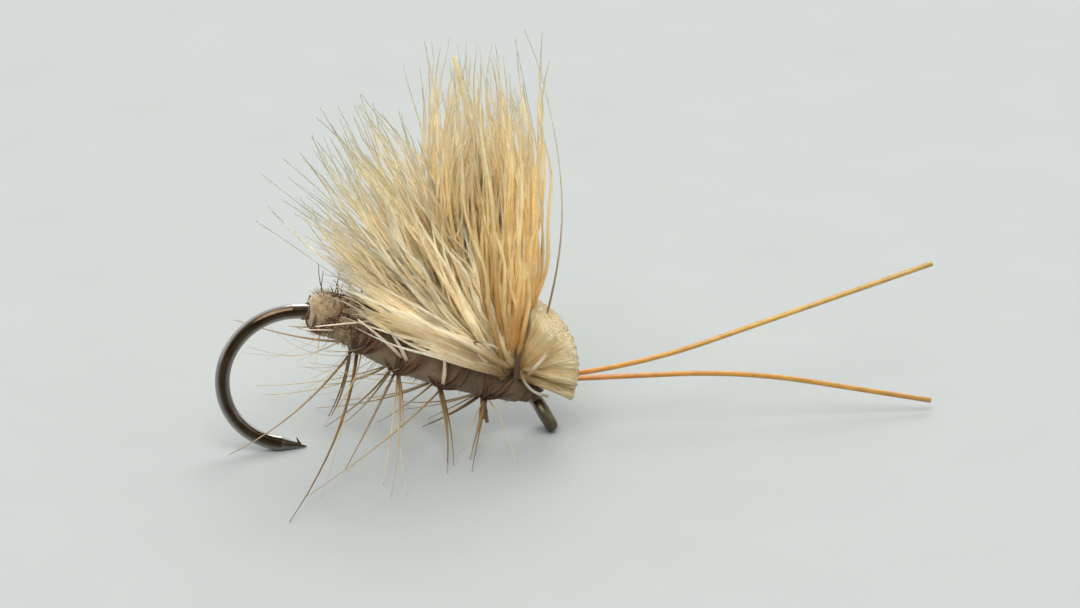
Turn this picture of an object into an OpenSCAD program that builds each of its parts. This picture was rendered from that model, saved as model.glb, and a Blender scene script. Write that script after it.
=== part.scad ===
// Dry fly with a flared hair wing, a palmered hackle and two stiff antennae.
// +X runs from the hook bend to the antennae and +Z is up. The hook point, the
// eye and the hackle tips stand on Z = 0. Millimetres and degrees.

/* [Hook] */
// Diameter of the hook wire
wire_d = 0.75; // [0.6:0.05:0.9]
// Centreline radius of the round bend
bend_r = 3.56; // [3.2:0.02:3.9]
// Angle that the bend turns through, from the shank to the spear
bend_sweep = 168; // [164:1:172]
// Length of the tapered spear from the bend to the point
spear_len = 1.42; // [1.2:0.02:1.6]
// Centreline radius of the shoulder between bend and shank
shoulder_r = 6.4; // [5.5:0.1:7.5]
// Angle of the straight shank below the horizontal
shank_slope = 27; // [24:0.5:30]
// Angle of the down-turned eye below the horizontal
eye_slope = 61; // [55:1:66]
// Outer diameter of the eye ring
eye_outer_d = 2.08; // [1.95:0.01:2.25]
// Diameter of the wire in the eye ring
eye_wire_d = 0.64; // [0.58:0.01:0.68]
// Diameter of the hole through the eye
eye_hole_d = 0.88; // [0.84:0.01:0.95]

/* [Body] */
// Largest radius of the wound body
body_fat_r = 1.52; // [1.3:0.02:1.6]
// Radius of the body at its rear end
body_rear_r = 1.0; // [0.9:0.02:1.1]
// Radius of the body at the neck
body_neck_r = 0.6; // [0.55:0.01:0.65]
// Distance between neighbouring turns of the body yarn
yarn_pitch = 0.42; // [0.36:0.02:0.5]
// Radius of the dubbing ball at the rear
rear_ball_r = 0.98; // [0.9:0.02:1.05]
// Diameter of the tying thread
thread_d = 0.14; // [0.1:0.01:0.16]

/* [Hackle] */
// Distance along the shank between turns of the hackle
hackle_pitch = 2.42; // [2.3:0.02:2.5]
// Diameter of the hackle stem at its thick end
stem_d = 0.2; // [0.16:0.02:0.24]
// Length of a hackle barb
barb_len = 9.2; // [8:0.1:10]
// Diameter of a hackle barb at its root
barb_d = 0.14; // [0.1:0.01:0.16]
// Barbs on each full turn of the hackle
barbs_per_turn = 13; // [11:2:15]

/* [Wing and head] */
// Length of the wing hair from the tie-in to the tips
wing_len = 17.2; // [16:0.1:18]
// Radius of the trimmed hair butts around the tie-in
head_r = 2.95; // [2.7:0.05:3.1]
// Radius of the thread collar that ties the hair down
collar_r = 1.48; // [1.4:0.01:1.55]

/* [Antennae] */
// Diameter of an antenna
antenna_d = 0.27; // [0.24:0.01:0.3]
// Length of the left antenna along its curve
antenna_left_len = 21.7; // [20:0.1:22.5]
// Length of the right antenna along its curve
antenna_right_len = 20.6; // [19.5:0.1:21.5]
// Angle above the horizontal at which the left antenna ends
antenna_left_rise = 13.4; // [11:0.1:16]
// Angle below the horizontal at which the right antenna ends
antenna_right_fall = 12.5; // [10:0.1:13]

/* [Hidden] */

$fn = 48;
low_fn = 6; // sides of a hair or a barb

// Colours
bronze = [0.30, 0.25, 0.19];
thread_brown = [0.33, 0.22, 0.14];
yarn_brown = [0.47, 0.40, 0.31];
dubbing_tan = [0.66, 0.57, 0.50];
stem_brown = [0.24, 0.13, 0.07];
barb_gold = [0.72, 0.57, 0.32];
hair_straw = [0.85, 0.71, 0.47];
hair_pale = [0.90, 0.82, 0.64];
butt_cream = [0.90, 0.82, 0.60];
antenna_orange = [0.88, 0.50, 0.16];
cement_clear = [0.20, 0.12, 0.07];

// Hook, laid out in the X-Z plane with the bend's centre at X = 0
wire_r = wire_d / 2;
point_r = 0.04;
joint_gap = 0.02; // stretches of wire stop this far short of each joint
joint_swell = 0.008; // and the round bead that joins them is this much larger in radius
spear_slope = bend_sweep - 180;
bend_end = 90 + bend_sweep;
bend_z = -(bend_r + wire_r) * sin(bend_end);
shank_top_z = bend_z + bend_r;
along_shank = [cos(shank_slope), 0, -sin(shank_slope)];
along_eye = [cos(eye_slope), 0, -sin(eye_slope)];
shoulder_len = shoulder_r * shank_slope * PI / 180;
shoulder_end = [shoulder_r * sin(shank_slope), 0, shank_top_z - shoulder_r * (1 - cos(shank_slope))];

// Eye, stood on Z = 0 so that the shank's length follows from the heights
eye_wire_r = eye_wire_d / 2;
eye_ring_r = eye_outer_d / 2 - eye_wire_r;
leg_r = 0.7; // centreline radius where the leg turns down to the eye
leg_cone_len = 0.25;
leg_run = leg_r * (sin(eye_slope) - sin(shank_slope));
leg_drop = leg_r * (cos(shank_slope) - cos(eye_slope));
eye_centre_z = eye_ring_r * sin(eye_slope) + eye_wire_r;
shank_end_z = eye_centre_z + (eye_ring_r + leg_cone_len) * sin(eye_slope) + leg_drop;
shank_len = (shoulder_end[2] - shank_end_z) / sin(shank_slope);
shank_end = shoulder_end + shank_len * along_shank;
leg_end = shank_end + [leg_run, 0, -leg_drop];
eye_centre = leg_end + (leg_cone_len + eye_ring_r) * along_eye;

// Stations along the shank, counted from the top of the bend
head_s = shoulder_len + shank_len;
collar_s = head_s - 0.75;
thorax_s = 9.4;
abdomen_s = 2.3;
ball_s = 1.55;
ball_half_len = 0.68;
fat_s = 6.2;
thread_r = wire_r + thread_d / 2;
first_turn_s = 1.3;

// Antennae: a straight lead, one bend and a straight tail, from roots side by side on the shank
antenna_root = [shank_end[0] + 0.05, 0.15, shank_end[2] + 0.72];
antenna_bend_r = 34;
antenna_left_yaw = 6;
antenna_left_from = -2.5;
antenna_left_lead = 0;
antenna_right_yaw = -3.5;
antenna_right_from = -0.3;
antenna_right_lead = 7;

// Wing and head
tie_in = [shank_end[0] - 0.67, 0, shank_end[2] + 1.74];
butt_root = tie_in + [0.1, 0, 0.15];
low_butt_root = tie_in + [0.2, 0, -0.5];
collar_turns = 3;

// The part's X extent runs from the back of the bend to the left antenna's tip
left_bend_len = antenna_bend_r * (antenna_left_rise - antenna_left_from) * PI / 180;
left_reach = antenna_bend_r * (sin(antenna_left_rise) - sin(antenna_left_from))
    + (antenna_left_len - left_bend_len) * cos(antenna_left_rise);
back_x = -bend_r - wire_r;
front_x = antenna_root[0] + left_reach * cos(antenna_left_yaw);
centre_x = (back_x + front_x) / 2;

// A point and the slope on the shank's centreline, at station s
function shank_angle(s) = s < shoulder_len ? s / shoulder_r * 180 / PI : shank_slope;
function shank_point(s) =
    s < shoulder_len
        ? [shoulder_r * sin(shank_angle(s)), 0, shank_top_z - shoulder_r * (1 - cos(shank_angle(s)))]
        : shoulder_end + (s - shoulder_len) * along_shank;

// The unit vector out from the shank at station s, with turn 0 facing the belly
function outward(s, turn) =
    [-sin(shank_angle(s)) * cos(turn), sin(turn), -cos(shank_angle(s)) * cos(turn)];

// Radius of the wound body at station s
function body_r(s) =
    s < fat_s
        ? body_rear_r + (body_fat_r - body_rear_r) * sin(90 * (s - abdomen_s) / (fat_s - abdomen_s))
        : body_neck_r + (body_fat_r - body_neck_r) * cos(90 * (s - fat_s) / (head_s - fat_s));

// Radius of whatever the hackle stem lies on at station s
function bed_r(s) = s < abdomen_s ? rear_ball_r - 0.1 * abs(s - ball_s) : body_r(s);

// A unit vector in the fly's frame, leaning back from the vertical and out to the side
function hair_dir(back, side) = [-sin(back) * cos(side), sin(side), cos(back) * cos(side)];

// Moves the hook's layout to the part's own origin
module in_frame() {
    translate([-centre_x, 0, 0]) children();
}

// Puts children at station s with +Z along the shank and +X towards the belly
module on_shank(s) {
    translate(shank_point(s)) rotate([0, 90 + shank_angle(s), 0]) children();
}

// Points +Z from one place to another
module aim(from, to) {
    way = to - from;
    translate(from) rotate([0, acos(way[2] / norm(way)), atan2(way[1], way[0])]) children();
}

// Sweeps a flat profile round an arc in the X-Z plane, cut short at both ends by a length
module arc(centre, radius, start, sweep, short = 0) {
    trim = short / radius * 180 / PI;
    translate(centre) rotate([90, 0, 0]) rotate([0, 0, start + trim])
        rotate_extrude(angle = sweep - 2 * trim) translate([radius, 0]) children();
}

// The round bead that joins two stretches of wire
module bead(place, radius) {
    translate(place) sphere(radius + joint_swell);
}

// The shank's shoulder and straight run as one bar of the given radius
module shank_bar(radius) {
    arc([0, 0, shank_top_z - shoulder_r], shoulder_r, 90 - shank_slope, shank_slope, joint_gap)
        circle(radius);
    bead(shoulder_end, radius);
    on_shank(shoulder_len) translate([0, 0, joint_gap]) cylinder(h = shank_len - 2 * joint_gap, r = radius);
}

// A closed tube through rings that all have the same number of points
module skin(rings) {
    sides = len(rings[0]);
    last = (len(rings) - 1) * sides;
    points = [for (ring = rings) for (p = ring) p];
    walls = [
        for (i = [0 : sides : last - 1], j = [0 : sides - 1])
            let (k = (j + 1) % sides)
                each [[i + j, i + k, i + sides + k], [i + j, i + sides + k, i + sides + j]]
    ];
    caps = [[for (j = [0 : sides - 1]) sides - 1 - j], [for (j = [0 : sides - 1]) last + j]];
    polyhedron(points, concat(walls, caps));
}

// A straight tapered barb or hair with flat ends
module fibre(from, to, root_d, tip_d) {
    aim(from, to) cylinder(h = norm(to - from), d1 = root_d, d2 = tip_d, $fn = low_fn);
}

// A bent lock of hair made of two tapered lengths, which lean back by one angle and then another
module lock(root, back, tip_back, side, length) {
    root_d = 0.46;
    tip_d = 0.14;
    middle_d = (root_d + tip_d) / 2;
    middle = root + length / 2 * hair_dir(back, side);
    tip = middle + length / 2 * hair_dir(tip_back, side);
    hull() {
        translate(root) sphere(d = root_d, $fn = low_fn);
        translate(middle) sphere(d = middle_d, $fn = low_fn);
    }
    hull() {
        translate(middle) sphere(d = middle_d, $fn = low_fn);
        translate(tip) sphere(d = tip_d, $fn = low_fn);
    }
}

// A stack of thread turns round the local Z axis, from one radius to another
module thread_wraps(first_r, last_r, turns, core_r) {
    step_a = 45;
    profile = [
        for (i = [0 : turns - 1], a = [0 : step_a : 180 - step_a])
            let (r = first_r + (last_r - first_r) * (i + a / 180) / turns)
                [r + thread_d / 2 * sin(a), thread_d * (i + (1 - cos(a)) / 2)]
    ];
    ends = [[last_r, thread_d * turns], [core_r, thread_d * turns], [core_r, 0]];
    rotate_extrude() polygon(concat(profile, ends));
}

// Hook wire: point and barb, round bend, shoulder, shank, leg and eye ring
module hook() {
    bend_centre = [0, 0, bend_z];
    bend_end_at = bend_centre + bend_r * [cos(bend_end), 0, sin(bend_end)];
    along_spear = [cos(spear_slope), 0, sin(spear_slope)];
    above_spear = [-sin(spear_slope), 0, cos(spear_slope)];
    point_at = bend_end_at + spear_len * along_spear;
    spear_start = bend_end_at + joint_gap * along_spear;
    barb_root = point_at - 0.3 * along_spear;
    barb_tip = point_at - 0.6 * along_spear + 0.42 * above_spear;
    leg_centre = shank_end - leg_r * [sin(shank_slope), 0, cos(shank_slope)];
    cone_start = leg_end + joint_gap * along_eye;
    cone_end = leg_end + leg_cone_len * along_eye;
    color(bronze) in_frame() difference() {
        union() {
            aim(spear_start, point_at) cylinder(h = spear_len - joint_gap, r1 = wire_r, r2 = point_r);
            aim(barb_root, barb_tip) cylinder(h = norm(barb_tip - barb_root), r1 = 0.11, r2 = 0.02);
            bead(bend_end_at, wire_r);
            arc(bend_centre, bend_r, 90, bend_sweep, joint_gap) circle(wire_r);
            bead([0, 0, shank_top_z], wire_r);
            shank_bar(wire_r);
            bead(shank_end, wire_r);
            arc(leg_centre, leg_r, 90 - eye_slope, eye_slope - shank_slope, joint_gap) circle(wire_r);
            bead(leg_end, wire_r);
            aim(cone_start, cone_end)
                cylinder(h = leg_cone_len - joint_gap, r1 = wire_r, r2 = eye_wire_r - 0.01);
            translate(eye_centre) rotate([0, eye_slope, 0])
                rotate_extrude() translate([eye_ring_r, 0]) circle(eye_wire_r);
        }
        translate(eye_centre) rotate([0, eye_slope, 0])
            cylinder(h = 2 * eye_wire_d, d = eye_hole_d, center = true);
    }
}

// First layer of thread, wound on the bare shank for everything else to grip
module thread_underbody() {
    color(thread_brown) in_frame() difference() {
        intersection() {
            shank_bar(thread_r);
            translate([first_turn_s / 2, -wire_d, 0])
                cube([shank_end[0] - first_turn_s / 2, 2 * wire_d, shank_top_z + wire_d]);
        }
        shank_bar(wire_r);
    }
}

// Fuzzy ball of dubbing that ends the body over the bend
module rear_dubbing() {
    steps = 10;
    profile = [
        for (i = [0 : steps])
            let (a = 180 * i / steps)
                [thread_r + (rear_ball_r - thread_r) * sin(a), -ball_half_len * cos(a)]
    ];
    color(dubbing_tan) in_frame() difference() {
        on_shank(ball_s) rotate_extrude() polygon(concat([[0, -ball_half_len]], profile, [[0, ball_half_len]]));
        shank_bar(thread_r);
    }
}

// Tapered body of wound yarn, one bulge for each turn
module abdomen_yarn() {
    turns = floor((thorax_s - abdomen_s) / yarn_pitch);
    pitch = (thorax_s - abdomen_s) / turns;
    bulge = 0.07;
    step_a = 45;
    profile = [
        for (i = [0 : turns - 1], a = [0 : step_a : 180 - step_a])
            let (z = pitch * (i + a / 180))
                [body_r(abdomen_s + z) - bulge + bulge * sin(a), z]
    ];
    last = thorax_s - abdomen_s;
    offset_to_shoulder = shoulder_len - abdomen_s;
    color(yarn_brown) in_frame() difference() {
        on_shank(shoulder_len) translate([0, 0, -offset_to_shoulder])
            rotate_extrude() polygon(concat([[0, 0]], profile, [[body_r(thorax_s), last], [0, last]]));
        shank_bar(thread_r);
    }
}

// Smooth front of the body, tapering under the wing to the neck
module thorax_dubbing() {
    steps = 10;
    length = collar_s - thorax_s;
    profile = [for (i = [0 : steps]) let (z = length * i / steps) [body_r(thorax_s + z), z]];
    color(yarn_brown) in_frame() on_shank(thorax_s) difference() {
        rotate_extrude() polygon(concat([[0, 0]], profile, [[0, length]]));
        cylinder(h = 3 * length, r = thread_r, center = true);
    }
}

// Quill of the hackle feather, wound forward in an open spiral
module hackle_stem() {
    ring_step = 20;
    first = -100;
    last = 360 * 4 + 60;
    rings = [
        for (turn = [first : ring_step : last])
            let (
                s = first_turn_s + hackle_pitch * turn / 360,
                half = stem_d / 2 * (1 - 0.4 * (last - turn) / (last - first)),
                middle = shank_point(s) + (bed_r(s) + stem_d / 2) * outward(s, turn),
                lengthwise = [cos(shank_angle(s)), 0, -sin(shank_angle(s))]
            )
                [for (a = [0 : 60 : 300]) middle + half * (cos(a) * outward(s, turn) + sin(a) * lengthwise)]
    ];
    color(stem_brown) in_frame() skin(rings);
}

// Barbs of one turn of the hackle, splayed down and out from the stem to the floor
module hackle_turn(number, clear_of_belly) {
    widest = 104; // the turn that the outermost barbs reach, on either side of the belly
    under = 55; // barbs within this turn lean forward, clear of the bend, and the others back
    lean_forward = 0.42;
    lean_back = -0.3;
    lean_vary = 0.14;
    len_vary = 0.06;
    turn_s = first_turn_s + (number - 1) * hackle_pitch;
    seed = 40 + number;
    wander = rands(-1, 1, 2 * barbs_per_turn, seed);
    color(barb_gold) in_frame() for (i = [0 : barbs_per_turn - 1]) {
        turn = widest * (2 * i / (barbs_per_turn - 1) - 1);
        if (abs(turn) > clear_of_belly) {
            s = turn_s + hackle_pitch * turn / 360;
            root = shank_point(s) + (bed_r(s) + stem_d) * outward(s, turn);
            lean = (abs(turn) > under ? lean_back : lean_forward) + lean_vary * wander[2 * i];
            way = outward(s, turn) + [lean, 0, 0];
            unit = way / norm(way);
            full = barb_len * (1 - len_vary + len_vary * wander[2 * i + 1]);
            to_floor = unit[2] < 0 ? -root[2] / unit[2] : full;
            fibre(root, root + min(full, to_floor) * unit, barb_d, barb_d / 2);
        }
    }
}

// Locks of hair fanned from the tie-in; backs and lengths go from the fan's front row to its
// rear one, and the tips gather towards the fan's middle by the given share
module hair_fan(root, backs, side_max, lengths, gather, rows, columns, seed) {
    stand_off = 0.5; // the locks start this far out, so that they don't all meet at one point
    row_vary = 0.3;
    column_vary = 0.35;
    len_vary = 0.05;
    middle_back = (backs[0] + backs[1]) / 2;
    wander = rands(-1, 1, 3 * rows * columns, seed);
    for (i = [0 : rows - 1], j = [0 : columns - 1]) {
        k = 3 * (i * columns + j);
        along = (i + row_vary * wander[k]) / (rows - 1);
        back = backs[0] + (backs[1] - backs[0]) * along;
        side = side_max * (2 * (j + column_vary * wander[k + 1]) / (columns - 1) - 1);
        length = (lengths[0] + (lengths[1] - lengths[0]) * along) * (1 - len_vary + len_vary * wander[k + 2]);
        start = root + stand_off * hair_dir(back, 2 * side);
        lock(start, back, back - gather * (back - middle_back), side, length);
    }
}

// Upright front clump of the wing
module wing_hair_front() {
    color(hair_straw) in_frame() hair_fan(tie_in, [-12, 17], 13, [wing_len, wing_len], 0.65, 7, 6, 3);
}

// Clump of the wing that leans back behind the front one
module wing_hair_rear() {
    rear_len = wing_len - 0.6;
    color(hair_straw) in_frame() hair_fan(tie_in, [17, 45], 13, [rear_len, rear_len], 0.8, 6, 5, 5);
}

// Low pale clump that lies along the back
module wing_hair_low() {
    upper_len = wing_len - 1.5;
    lower_len = wing_len / 2;
    color(hair_pale) in_frame() hair_fan(tie_in, [50, 68], 16, [upper_len, lower_len], 0.3, 4, 5, 7);
}

// Single hairs that have sprung out of the wing
module stray_hairs() {
    root_d = 0.12;
    tip_d = 0.08;
    color(hair_pale) in_frame() {
        fibre(tie_in + [1.3, 0.2, 1.8], tie_in + [2.2, 0.4, 9.5], root_d, tip_d);
        fibre(tie_in + [-3.2, -1.4, 2.6], tie_in + [-13.2, -1.9, 9.2], root_d, tip_d);
        fibre(tie_in + [-3.4, 1.6, 3.1], tie_in + [-12.6, 2.0, 10.4], root_d, tip_d);
        fibre(tie_in + [-2.9, 0.4, 7.2], tie_in + [-5.9, 0.8, 14.2], root_d, tip_d);
    }
}

// Trimmed hair butts flared in a fan from a line across the root, each with a cut end
module butts(root, rises, side_max, reach, rows, columns, seed) {
    half_width = 1; // half the length of the line that the butts start from
    root_d = 0.3;
    end_d = 0.46;
    end_len = 0.05;
    vary = 0.2;
    reach_vary = 0.03;
    wander = rands(-1, 1, 3 * rows * columns, seed);
    for (i = [0 : rows - 1], j = [0 : columns - 1]) {
        k = 3 * (i * columns + j);
        rise = rises[0] + (rises[1] - rises[0]) * (i + vary * wander[k]) / (rows - 1);
        across = 2 * (j + vary * wander[k + 1]) / (columns - 1) - 1;
        start = root + [0, half_width * across, 0];
        way = hair_dir(rise - 90, side_max * across);
        end = start + reach * (1 - reach_vary + reach_vary * wander[k + 2]) * way;
        hull() {
            translate(start) sphere(d = root_d, $fn = low_fn);
            aim(start, end) translate([0, 0, norm(end - start)]) cylinder(h = end_len, d = end_d, $fn = low_fn);
        }
    }
}

// Rounded mass of butts over and in front of the tie-in
module head_butts_upper() {
    color(butt_cream) in_frame() butts(butt_root, [-18, 82], 30, head_r, 8, 8, 11);
}

// Butts that show below the antennae
module head_butts_lower() {
    color(butt_cream) in_frame() butts(low_butt_root, [-24, -4], 22, head_r - 0.2, 2, 7, 13);
}

// Band of thread turns that binds the hair at the neck
module thread_collar() {
    wrap_r = collar_r - thread_d / 2;
    half_width = collar_turns * thread_d / 2;
    color(thread_brown) in_frame() translate(tie_in - [half_width, 0, 0.57]) rotate([0, 90, 0])
        thread_wraps(wrap_r, wrap_r, collar_turns, collar_r - thread_d);
}

// Whip finish behind the eye
module thread_head() {
    turns = 3;
    first_r = 0.5;
    last_r = 0.45;
    color(thread_brown) in_frame() on_shank(head_s - turns * thread_d)
        thread_wraps(first_r, last_r, turns, thread_r);
}

// Drop of clear cement over the whip finish
module head_cement() {
    inner_r = wire_r + 0.005;
    rim_r = 0.5;
    top_r = 0.47;
    color(cement_clear) in_frame() on_shank(head_s)
        rotate_extrude() polygon([[inner_r, 0], [rim_r, 0], [top_r, 0.06], [inner_r, 0.1]]);
}

// A stiff antenna that bends between two slopes, with square-cut ends
module antenna(root, yaw, slopes, lead, length) {
    radius = antenna_d / 2;
    sides = 12;
    bend_steps = 10;
    turn = slopes[1] - slopes[0];
    reach = antenna_bend_r * sign(turn);
    bend_len = antenna_bend_r * abs(turn) * PI / 180;
    bend_start = lead * [cos(slopes[0]), 0, sin(slopes[0])];
    bend_centre = bend_start + reach * [-sin(slopes[0]), 0, cos(slopes[0])];
    bend_finish = bend_centre + reach * [sin(slopes[1]), 0, -cos(slopes[1])];
    tip = bend_finish + (length - lead - bend_len) * [cos(slopes[1]), 0, sin(slopes[1])];
    bend_slopes = [for (i = [0 : bend_steps]) slopes[0] + turn * i / bend_steps];
    in_bend = [for (slope = bend_slopes) bend_centre + reach * [sin(slope), 0, -cos(slope)]];
    middles = concat(lead > 0 ? [[0, 0, 0]] : [], in_bend, [tip]);
    ring_slopes = concat(lead > 0 ? [slopes[0]] : [], bend_slopes, [slopes[1]]);
    rings = [
        for (i = [0 : len(middles) - 1])
            let (above = [-sin(ring_slopes[i]), 0, cos(ring_slopes[i])])
                [for (a = [0 : 360 / sides : 359]) middles[i] + radius * (cos(a) * above + sin(a) * [0, 1, 0])]
    ];
    translate(root) rotate([0, 0, yaw]) skin(rings);
}

// Antenna on the fly's left, which rises
module antenna_left() {
    color(antenna_orange) in_frame()
        antenna(antenna_root, antenna_left_yaw, [antenna_left_from, antenna_left_rise],
                antenna_left_lead, antenna_left_len);
}

// Antenna on the fly's right, which bows down
module antenna_right() {
    right_root = [antenna_root[0], -antenna_root[1], antenna_root[2]];
    color(antenna_orange) in_frame()
        antenna(right_root, antenna_right_yaw, [antenna_right_from, -antenna_right_fall],
                antenna_right_lead, antenna_right_len);
}

hook();
thread_underbody();
rear_dubbing();
abdomen_yarn();
thorax_dubbing();
hackle_stem();
hackle_turn(1, 64);  // hackle_turn_1
hackle_turn(2, 0);  // hackle_turn_2
hackle_turn(3, -1);  // hackle_turn_3
hackle_turn(4, -1);  // hackle_turn_4
hackle_turn(5, -1);  // hackle_turn_5
wing_hair_front();
wing_hair_rear();
wing_hair_low();
stray_hairs();
head_butts_upper();
head_butts_lower();
thread_collar();
thread_head();
head_cement();
antenna_left();
antenna_right();
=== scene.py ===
"""Looks of the dry fly: every strand, wrap and barb as geometry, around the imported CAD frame."""

from math import acos, cos, pi, radians, sin

import bpy
import numpy as np
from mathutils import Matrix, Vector


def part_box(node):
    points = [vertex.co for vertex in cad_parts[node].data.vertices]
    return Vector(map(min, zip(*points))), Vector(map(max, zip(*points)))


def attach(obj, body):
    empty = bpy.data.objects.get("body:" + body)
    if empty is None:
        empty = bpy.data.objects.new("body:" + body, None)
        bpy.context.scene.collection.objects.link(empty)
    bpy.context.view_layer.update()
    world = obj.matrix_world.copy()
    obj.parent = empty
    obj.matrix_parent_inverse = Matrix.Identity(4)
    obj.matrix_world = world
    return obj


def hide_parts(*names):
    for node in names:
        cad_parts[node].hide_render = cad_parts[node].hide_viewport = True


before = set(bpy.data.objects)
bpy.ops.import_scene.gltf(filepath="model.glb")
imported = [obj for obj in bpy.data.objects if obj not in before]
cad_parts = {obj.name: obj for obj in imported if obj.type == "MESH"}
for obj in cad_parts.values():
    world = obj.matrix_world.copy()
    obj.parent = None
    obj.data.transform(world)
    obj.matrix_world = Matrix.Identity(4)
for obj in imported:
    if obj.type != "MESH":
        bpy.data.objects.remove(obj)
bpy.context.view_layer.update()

MM = 0.001
chance = np.random.default_rng(8)

# ---------------------------------------------------------------- the shank, in millimetres
# A station, _S, is a distance along the shank's centreline from the top of the bend.

WIRE_R = 0.375
BEND_R = 3.56
SHOULDER_R = 6.4
SHANK_SLOPE = radians(27)
THREAD_R = 0.055

hook_low, hook_high = (np.array(corner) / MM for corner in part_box("hook"))
BEND_X = hook_low[0] + BEND_R + WIRE_R
SHANK_TOP = hook_high[2] - WIRE_R
SHOULDER_LEN = SHOULDER_R * SHANK_SLOPE
SHOULDER_END = np.array([BEND_X + SHOULDER_R * sin(SHANK_SLOPE), 0,
                         SHANK_TOP - SHOULDER_R * (1 - cos(SHANK_SLOPE))])
ALONG = np.array([cos(SHANK_SLOPE), 0, -sin(SHANK_SLOPE)])
UP = np.array([sin(SHANK_SLOPE), 0, cos(SHANK_SLOPE)])
SIDE = np.array([0, 1.0, 0])
HEAD_S = SHOULDER_LEN + 10.2

UNDERBODY_S = 0.62
BALL_S = 1.55
BALL_R = 0.98
ABDOMEN_S = 2.25
THORAX_S = 9.4
FAT_S = 6.2
REAR_R, FAT_R, NECK_R = 1.0, 1.52, 0.6

HACKLE_TURNS = 5
HACKLE_PITCH = 2.42
FIRST_TURN_S = 1.3
STEM_R = 0.1

ROD_R = 0.135
ROD_BEND_R = 34


def shank_angle(s):
    return s / SHOULDER_R if s < SHOULDER_LEN else SHANK_SLOPE


def shank_point(s):
    """The point at station s on the shank's centreline."""
    if s >= SHOULDER_LEN:
        return SHOULDER_END + (s - SHOULDER_LEN) * ALONG
    a = s / SHOULDER_R
    return np.array([BEND_X + SHOULDER_R * sin(a), 0, SHANK_TOP - SHOULDER_R * (1 - cos(a))])


def outward(s, turn):
    """The unit vector out from the shank at station s; turn 0 faces the floor and -90 is -Y."""
    a, t = shank_angle(s), radians(turn)
    return np.array([-sin(a) * cos(t), sin(t), -cos(a) * cos(t)])


def body_r(s):
    """Radius of the wound body at station s."""
    if s < ABDOMEN_S:
        return BALL_R - 0.1 * abs(s - BALL_S)
    if s < FAT_S:
        return REAR_R + (FAT_R - REAR_R) * sin(pi / 2 * (s - ABDOMEN_S) / (FAT_S - ABDOMEN_S))
    return NECK_R + (FAT_R - NECK_R) * cos(pi / 2 * min(1, (s - FAT_S) / (HEAD_S - FAT_S)))


def on_body(s, turn, above=0.0):
    """A point over the body's surface."""
    return shank_point(s) + (body_r(s) + above) * outward(s, turn)


# ---------------------------------------------------------------- meshes


def make_object(name, points, faces, material, floats=None):
    """A smooth mesh object from points in millimetres, with named float values for its points."""
    mesh = bpy.data.meshes.new(name)
    mesh.from_pydata((np.asarray(points) * MM).tolist(), [], faces)
    for key, values in (floats or {}).items():
        attribute = mesh.attributes.new(key, "FLOAT", "POINT")
        attribute.data.foreach_set("value", np.asarray(values, float))
    mesh.polygons.foreach_set("use_smooth", [True] * len(mesh.polygons))
    mesh.materials.append(material)
    mesh.update()
    piece = bpy.data.objects.new(name, mesh)
    bpy.context.scene.collection.objects.link(piece)
    return piece


def stands_for(piece, slot, *nodes):
    """Puts a finished piece in the frame under the root body and hides the CAD nodes that it
    replaces; slot is not used.
    """
    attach(piece, "root")
    if nodes:
        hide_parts(*nodes)
    return piece


def between(pair, t):
    return pair[0] + (pair[1] - pair[0]) * t


class Strands:
    """Round tapered strands gathered into one mesh.

    Each point keeps how far along its strand it is, and a shade that its strand has all over.
    """

    def __init__(self, sides):
        self.sides = sides
        self.points, self.faces, self.along, self.shade = [], [], [], []
        self.count = 0

    def add(self, path, radii, shade, up=None, flat=1.0, cut_end=False):
        """Adds one strand along path; a cut end is flat, and any other closes to its tip."""
        path = np.asarray(path, float)
        n, sides = len(path), self.sides
        ahead = np.gradient(path, axis=0)
        ahead /= np.linalg.norm(ahead, axis=1)[:, None]
        if up is None:
            lean = path[-1] - path[0]
            mostly_sideways = abs(lean[1]) >= abs(lean[0]) + abs(lean[2])
            up = np.cross(lean, [1, 0, 0] if mostly_sideways else [0.31, 0.93, 0.2])
        up = np.broadcast_to(np.asarray(up, float), (n, 3))
        first = up - (up * ahead).sum(1)[:, None] * ahead
        first /= np.linalg.norm(first, axis=1)[:, None]
        second = np.cross(ahead, first)
        around = np.linspace(0, 2 * pi, sides, endpoint=False)
        radii = np.broadcast_to(np.asarray(radii, float), (n,))
        spokes = (np.cos(around)[None, :, None] * first[:, None]
                  + flat * np.sin(around)[None, :, None] * second[:, None])
        rings = path[:, None] + radii[:, None, None] * spokes
        start = self.count
        self.points.append(rings.reshape(-1, 3))
        steps = np.linspace(0, 1, n)
        self.along.append(np.repeat(steps, sides))
        for i in range(n - 1):
            row = start + i * sides
            for j in range(sides):
                k = (j + 1) % sides
                self.faces.append((row + j, row + k, row + sides + k, row + sides + j))
        self.faces.append(tuple(range(start + sides - 1, start - 1, -1)))
        last = start + (n - 1) * sides
        self.count += n * sides
        if cut_end:
            rim = rings[-1]
            middle = rim.mean(0)
            self.points.append(middle + 0.86 * (rim - middle) + 0.12 * radii[-1] * ahead[-1])
            self.along.append(np.full(sides, 1.04))
            cap = self.count
            for j in range(sides):
                k = (j + 1) % sides
                self.faces.append((last + j, last + k, cap + k, cap + j))
            self.faces.append(tuple(range(cap, cap + sides)))
            self.count += sides
        else:
            self.faces.append(tuple(range(last, last + sides)))
        self.shade.append(np.full(self.count - start, shade))

    def finish(self, name, material):
        floats = {"along": np.concatenate(self.along), "shade": np.concatenate(self.shade)}
        return make_object(name, np.concatenate(self.points), self.faces, material, floats)


def curve(root, way, tip, steps, stiff=0.35):
    """Points from root to tip that leave the root in the direction of way."""
    root, way, tip = (np.asarray(v, float) for v in (root, way, tip))
    reach = np.linalg.norm(tip - root)
    handle = root + way / np.linalg.norm(way) * reach * stiff
    t = np.linspace(0, 1, steps)[:, None]
    return (1 - t) ** 2 * root + 2 * t * (1 - t) * handle + t ** 2 * tip


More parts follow.
